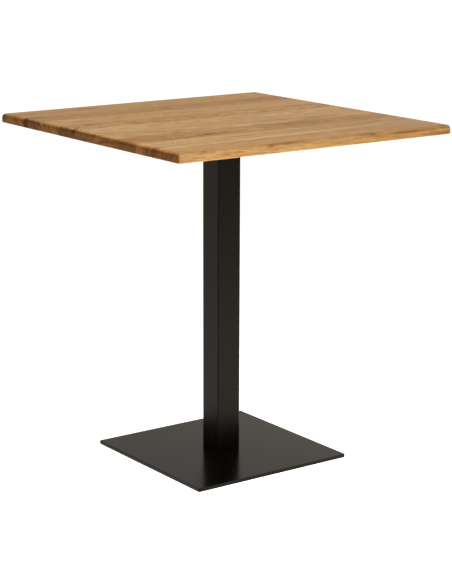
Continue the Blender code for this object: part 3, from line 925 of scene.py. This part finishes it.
def star_outline(r_out, r_in, lobes, per, x=0.0, y=0.0):
    out = []
    n = lobes * per
    for i in range(n):
        a = 2 * math.pi * i / n
        k = 0.5 + 0.5 * math.cos(lobes * a)
        r = r_in + (r_out - r_in) * k ** 0.8
        out.append((x + r * math.cos(a), y + r * math.sin(a)))
    return out


screw_lo, screw_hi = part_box("top_screw_1")
washer_lo, washer_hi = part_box("top_washer_1")
for i in range(1, 9):
    c = middle_of("top_screw_%d" % i)
    r = (screw_hi.x - screw_lo.x) / 2
    z0, tip = screw_lo.z, screw_hi.z
    under = z0 + 0.0026
    sides = 36
    bm = bmesh.new()
    profile = [(z0 + 0.0017, star_outline(0.00185, 0.00135, 6, 6)),
               (z0 + 0.0001, star_outline(0.0020, 0.00145, 6, 6)),
               (z0, star_outline(0.00215, 0.0016, 6, 6))]
    for k in range(7):
        a = math.radians(90.0 * k / 6)
        profile.append((z0 + 0.0016 * (1 - math.cos(a)),
                        circle(r * (0.56 + 0.44 * math.sin(a)), sides)))
    profile += [(under - 0.0002, circle(r, sides)), (under, circle(r - 0.0002, sides)),
                (under, circle(0.0024, sides))]
    rings = rings_of(bm, profile)
    for a, b in zip(rings, rings[1:]):
        bridge(bm, a, b)
    threads = thread_rings(bm, 0.0024, 0.0007, 0.0022, under + 0.0062, tip - 0.0035, sides, 10,
                           right_handed=1.0)
    bridge(bm, rings[-1], threads[0])
    point = bm.verts.new((0, 0, tip))
    n = len(threads[-1])
    for k in range(n):
        bm.faces.new((threads[-1][k], threads[-1][(k + 1) % n], point))
    bm.faces.new(rings[0])
    standing_for(finish_mesh("screw_%d" % i, bm, ZINC, 40, (c.x, c.y, 0.0)), TABLE, "zinc",
                 "top_screw_%d" % i)

    c = middle_of("top_washer_%d" % i)
    r = (washer_hi.x - washer_lo.x) / 2
    z0, z1 = washer_lo.z, washer_hi.z
    e = 0.0002
    bm = bmesh.new()
    loop = [(0.0028, z0 + e), (0.0028 + e, z0), (r - e, z0), (r, z0 + e), (r, z1 - e),
            (r - e, z1), (0.0028 + e, z1), (0.0028, z1 - e)]
    rings = rings_of(bm, [(z, circle(rr, 40)) for rr, z in loop])
    for a, b in zip(rings, rings[1:] + rings[:1]):
        bridge(bm, a, b)
    standing_for(finish_mesh("washer_%d" % i, bm, ZINC, 35, (c.x, c.y, 0.0)), TABLE, "zinc",
                 "top_washer_%d" % i)


# =====================================================================
# glides
# =====================================================================
pad_lo, pad_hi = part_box("glide_pad_1")
stud_lo, stud_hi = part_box("glide_stud_1")
PAD_R, PAD_H = (pad_hi.x - pad_lo.x) / 2, pad_hi.z
for i in range(1, 5):
    c = middle_of("glide_pad_%d" % i)
    corner = []
    corner += fillet((0, 0), (PAD_R, 0), (PAD_R, PAD_H), 0.0008, 5)
    corner += fillet((PAD_R, 0), (PAD_R, PAD_H), (0, PAD_H), 0.0011, 6)
    profile = [(0, 0), (PAD_R - 0.003, 0)] + corner
    profile += [(0.0095, PAD_H), (0.0089, PAD_H - 0.0004), (0.0050, PAD_H - 0.0004),
                (0.0046, PAD_H), (0.0038, PAD_H), (0.0036, PAD_H - 0.0002), (0.0036, 0.0024),
                (0.0053, 0.0024), (0.0053, 0.0006), (0, 0.0006)]
    bm = bmesh.new()
    turned(bm, profile, 64)
    # finger grooves round the rim
    for v in bm.verts:
        rr = math.hypot(v.co.x, v.co.y)
        if rr > PAD_R - 0.0004:
            a = math.atan2(v.co.y, v.co.x)
            k = max(0.0, math.cos(16 * a)) ** 2
            v.co.x *= 1 - 0.022 * k
            v.co.y *= 1 - 0.022 * k
    standing_for(finish_mesh("pad_%d" % i, bm, NYLON, 40, (c.x, c.y, 0.0)), "glide_%d" % i,
                 "nylon", "glide_pad_%d" % i)

    c = middle_of("glide_stud_%d" % i)
    sides = 48
    foot = stud_lo.z
    hex0, hex1 = PAD_H + 0.0003, base_lo.z - 0.0003
    flats = stud_hi.x - stud_lo.x
    bm = bmesh.new()
    rings = rings_of(bm, [
        (foot, circle(0.0046, sides)), (foot + 0.0003, circle(0.0050, sides)),
        (0.0021, circle(0.0050, sides)), (0.0021, circle(0.0033, sides)),
        (hex0, circle(0.0033, sides)), (hex0, hexagon(flats - 0.0008, sides)),
        (hex0 + 0.0003, hexagon(flats, sides)), (hex1 - 0.0003, hexagon(flats, sides)),
        (hex1, hexagon(flats - 0.0008, sides)), (hex1, circle(0.0040, sides))])
    for a, b in zip(rings, rings[1:]):
        bridge(bm, a, b)
    threads = thread_rings(bm, 0.0040, 0.00068, 0.00125, hex1 + 0.0001, stud_hi.z - 0.0007, sides,
                           10, run_in=0.25, run_out=0.4, right_handed=1.0)
    bridge(bm, rings[-1], threads[0])
    tip = rings_of(bm, [(stud_hi.z, circle(0.0033, sides))])[0]
    bridge(bm, threads[-1], tip)
    bm.faces.new(rings[0])
    bm.faces.new(tip)
    standing_for(finish_mesh("stud_%d" % i, bm, ZINC, 40, (c.x, c.y, 0.0)),
                 "glide_screw_%d" % i, "zinc", "glide_stud_%d" % i)


# =====================================================================
# stage, light and camera
# =====================================================================
FLOOR_FAR, FLOOR_POOL, FLOOR_REACH, FLOOR_FRONT = 0.89, 0.60, 1.5, 1.06
SKY_LOW, SKY_HIGH, SKY_WALL = 0.87, 0.26, 1.9
FLOOR_Z = -0.0027                    # just low enough for the glides screwed right out

scene = bpy.context.scene
scene.view_settings.view_transform = "Standard"
scene.view_settings.look = "None"

bm = bmesh.new()
disc = [bm.verts.new((60 * math.cos(2 * math.pi * i / 96), 60 * math.sin(2 * math.pi * i / 96),
                      FLOOR_Z)) for i in range(96)]
bm.faces.new(disc)
mesh = bpy.data.meshes.new("floor")
bm.to_mesh(mesh)
bm.free()
floor = bpy.data.objects.new("floor", mesh)
scene.collection.objects.link(floor)
floor_mat = bpy.data.materials.new("floor_pale")
floor_mat.use_nodes = True
tree = floor_mat.node_tree
tree.nodes.clear()
g = Graph(tree)
out = tree.nodes.new("ShaderNodeOutputMaterial")
diffuse = tree.nodes.new("ShaderNodeBsdfDiffuse")
diffuse.inputs["Color"].default_value = (0.20, 0.20, 0.20, 1.0)
# a pool of light round the table, a little brighter in front and to the right
p, _ = g.coords()
px, py, _z = g.xyz(p)
ahead = g.math("ADD", g.mul(px, 0.58), g.mul(py, -0.81))
reach = g.vec("LENGTH", p)
pool = g.math("EXPONENT", g.mul(reach, reach, -1.0 / (FLOOR_REACH * FLOOR_REACH)))
front = g.smooth(ahead, -0.25, 0.55)
fade = g.smooth(reach, 1.9, 3.4, 1.0, 0.0)
gain = g.madd(g.mul(front, fade), FLOOR_FRONT, 1.0)
level = g.mul(g.madd(pool, FLOOR_POOL, FLOOR_FAR), gain)
glow = tree.nodes.new("ShaderNodeEmission")
tree.links.new(g.mix(front, (1.0, 0.962, 0.91), (1.0, 0.988, 0.955)), glow.inputs["Color"])
tree.links.new(level, glow.inputs["Strength"])
both = tree.nodes.new("ShaderNodeAddShader")
clear = tree.nodes.new("ShaderNodeBsdfTransparent")
side = tree.nodes.new("ShaderNodeMixShader")
geometry = tree.nodes.new("ShaderNodeNewGeometry")
tree.links.new(diffuse.outputs[0], both.inputs[0])
tree.links.new(glow.outputs[0], both.inputs[1])
tree.links.new(geometry.outputs["Backfacing"], side.inputs[0])
tree.links.new(both.outputs[0], side.inputs[1])
tree.links.new(clear.outputs[0], side.inputs[2])
tree.links.new(side.outputs[0], out.inputs["Surface"])
mesh.materials.append(floor_mat)

world = bpy.data.worlds.new("studio")
scene.world = world
world.use_nodes = True
tree = world.node_tree
tree.nodes.clear()
out = tree.nodes.new("ShaderNodeOutputWorld")
env = tree.nodes.new("ShaderNodeBackground")
# brighter and a little warmer towards the horizon than overhead
g = Graph(tree)
direction = tree.nodes.new("ShaderNodeTexCoord").outputs["Generated"]
dx, dy, height = g.xyz(direction)
# and a soft bright wall low down behind and to the right
wall = g.mul(g.smooth(height, 0.14, 0.34, 1.0, 0.0),
             g.smooth(g.add(g.mul(dx, 0.94), g.mul(dy, 0.34)), 0.75, 1.0))
tree.links.new(g.madd(wall, SKY_WALL, g.smooth(height, 0.05, 0.75, SKY_LOW, SKY_HIGH)),
               env.inputs["Strength"])
tree.links.new(g.mix(g.smooth(height, 0.05, 0.75), (1.0, 0.91, 0.79), (1.0, 0.995, 0.985)),
               env.inputs["Color"])
seen = tree.nodes.new("ShaderNodeBackground")
seen.inputs["Color"].default_value = (1.0, 1.0, 1.0, 1.0)
seen.inputs["Strength"].default_value = 1.0
path = tree.nodes.new("ShaderNodeLightPath")
pick = tree.nodes.new("ShaderNodeMixShader")
tree.links.new(path.outputs["Is Camera Ray"], pick.inputs[0])
tree.links.new(env.outputs[0], pick.inputs[1])
tree.links.new(seen.outputs[0], pick.inputs[2])
tree.links.new(pick.outputs[0], out.inputs["Surface"])


def sun(name, azimuth, elevation, strength, softness, colour=(1.0, 1.0, 1.0)):
    """Azimuth 0 shines from the -Y side, 90 from +X."""
    light = bpy.data.lights.new(name, "SUN")
    light.energy = strength
    light.angle = math.radians(softness)
    light.color = colour
    obj = bpy.data.objects.new(name, light)
    scene.collection.objects.link(obj)
    a, e = math.radians(azimuth), math.radians(elevation)
    towards = Vector((math.sin(a) * math.cos(e), -math.cos(a) * math.cos(e), math.sin(e)))
    obj.rotation_mode = "QUATERNION"
    obj.rotation_quaternion = towards.to_track_quat("Z", "Y")
    obj.location = towards * 5
    return obj


sun("key", 50.0, 56.0, 2.65, 38.0, (1.0, 0.985, 0.96))

AZ, EL, ROLL = math.radians(-35.69662), math.radians(13.4824), math.radians(0.15321)
back = Vector((math.sin(AZ) * math.cos(EL), -math.cos(AZ) * math.cos(EL), math.sin(EL)))
right = Vector((math.cos(AZ), math.sin(AZ), 0.0))
up = back.cross(right)
r_axis = right * math.cos(ROLL) + up * math.sin(ROLL)
u_axis = up * math.cos(ROLL) - right * math.sin(ROLL)
camera_data = bpy.data.cameras.new("camera")
camera_data.sensor_fit = "AUTO"
camera_data.sensor_width = 36.0
camera_data.lens = 36.0 * 1755.93 / 584.0
camera_data.clip_start, camera_data.clip_end = 0.05, 200.0
camera = bpy.data.objects.new("camera", camera_data)
scene.collection.objects.link(camera)
camera.matrix_world = Matrix((
    (r_axis.x, u_axis.x, back.x, -2.20200),
    (r_axis.y, u_axis.y, back.y, -3.08230),
    (r_axis.z, u_axis.z, back.z, 1.28222),
    (0.0, 0.0, 0.0, 1.0)))
scene.camera = camera

bpy.context.view_layer.update()
